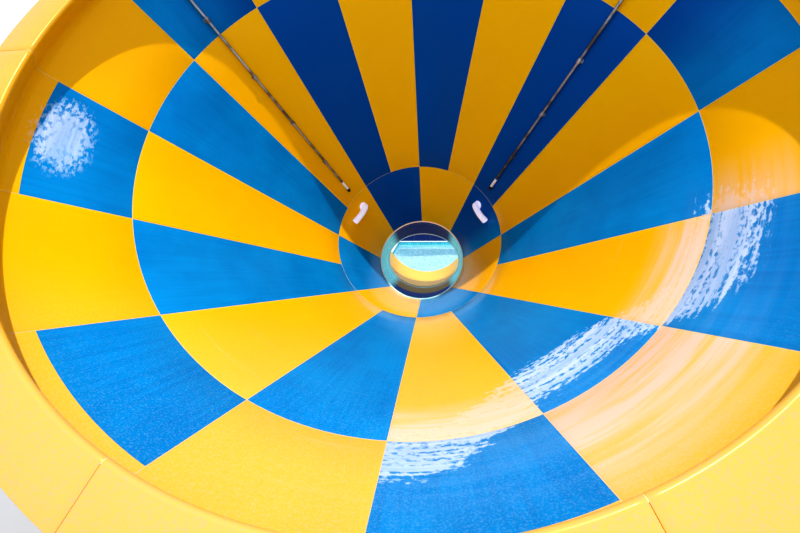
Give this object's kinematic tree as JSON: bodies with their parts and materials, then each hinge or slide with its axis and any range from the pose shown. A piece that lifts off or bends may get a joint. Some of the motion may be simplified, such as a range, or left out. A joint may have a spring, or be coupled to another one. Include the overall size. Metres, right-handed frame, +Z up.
{
  "type": "water slide funnel",
  "caption": "Giant water slide funnel: a tilted cone of two-colour moulded panels with a curled rim, spray pipes, a round exit tunnel, a run-out trough, a catch basin and steel columns.",
  "frame": {"origin": "on the ground, under the middle of the whole plant's box", "axes": "+Y runs from the funnel's mouth to the catch basin, along the plant's length; +Z is up; +X is to the right for someone who looks into the mouth"},
  "size_m": [19.35, 38.285, 20.2348],
  "materials": {
    "yellow_gelcoat": "glossy gelcoat on moulded fibreglass, with pale water marks",
    "blue_gelcoat": "glossy gelcoat on moulded fibreglass, with pale water marks",
    "dark_blue_gelcoat": "glossy gelcoat on moulded fibreglass",
    "cream_gelcoat": "satin gelcoat on moulded rings",
    "white_coating": "white coating, smooth",
    "pool_paint": "turquoise pool paint",
    "pipe_metal": "dull stainless tube",
    "painted_steel": "pale grey paint on steel tube"
  },
  "bodies": {
    "root": {"outer_panel_1": "yellow_gelcoat", "middle_panel_1": "blue_gelcoat", "outer_panel_2": "yellow_gelcoat", "middle_panel_2": "yellow_gelcoat", "outer_panel_3": "yellow_gelcoat", "middle_panel_3": "blue_gelcoat", "outer_panel_4": "yellow_gelcoat", "middle_panel_4": "yellow_gelcoat", "outer_panel_5": "yellow_gelcoat", "middle_panel_5": "blue_gelcoat", "outer_panel_6": "yellow_gelcoat", "middle_panel_6": "yellow_gelcoat", "outer_panel_7": "yellow_gelcoat", "middle_panel_7": "blue_gelcoat", "outer_panel_8": "yellow_gelcoat", "middle_panel_8": "yellow_gelcoat", "outer_panel_9": "yellow_gelcoat", "middle_panel_9": "blue_gelcoat", "outer_panel_10": "yellow_gelcoat", "middle_panel_10": "yellow_gelcoat", "outer_panel_11": "yellow_gelcoat", "middle_panel_11": "blue_gelcoat", "outer_panel_12": "yellow_gelcoat", "middle_panel_12": "yellow_gelcoat", "outer_panel_13": "yellow_gelcoat", "middle_panel_13": "blue_gelcoat", "outer_panel_14": "yellow_gelcoat", "middle_panel_14": "yellow_gelcoat", "outer_panel_15": "yellow_gelcoat", "middle_panel_15": "blue_gelcoat", "outer_panel_16": "yellow_gelcoat", "middle_panel_16": "yellow_gelcoat", "inner_panel_1": "yellow_gelcoat", "inner_panel_2": "blue_gelcoat", "inner_panel_3": "yellow_gelcoat", "inner_panel_4": "blue_gelcoat", "inner_panel_5": "yellow_gelcoat", "inner_panel_6": "blue_gelcoat", "inner_panel_7": "yellow_gelcoat", "inner_panel_8": "blue_gelcoat", "exit_ring": "cream_gelcoat", "exit_tunnel": "dark_blue_gelcoat", "tunnel_end_ring": "cream_gelcoat", "runout_trough": "yellow_gelcoat", "basin_shell": "pool_paint", "basin_coping": "white_coating", "basin_splash_wall": "dark_blue_gelcoat", "spray_pipe_left": "pipe_metal", "spray_pipe_right": "pipe_metal", "nozzle_left": "white_coating", "nozzle_right": "white_coating", "tunnel_stand": "painted_steel", "mouth_column_left": "painted_steel", "mouth_column_right": "painted_steel", "lip_column_left": "painted_steel", "lip_column_right": "painted_steel", "middle_column_left": "painted_steel", "middle_column_right": "painted_steel", "rear_column_left": "painted_steel", "rear_column_right": "painted_steel"}
  },
  "joints": []
}
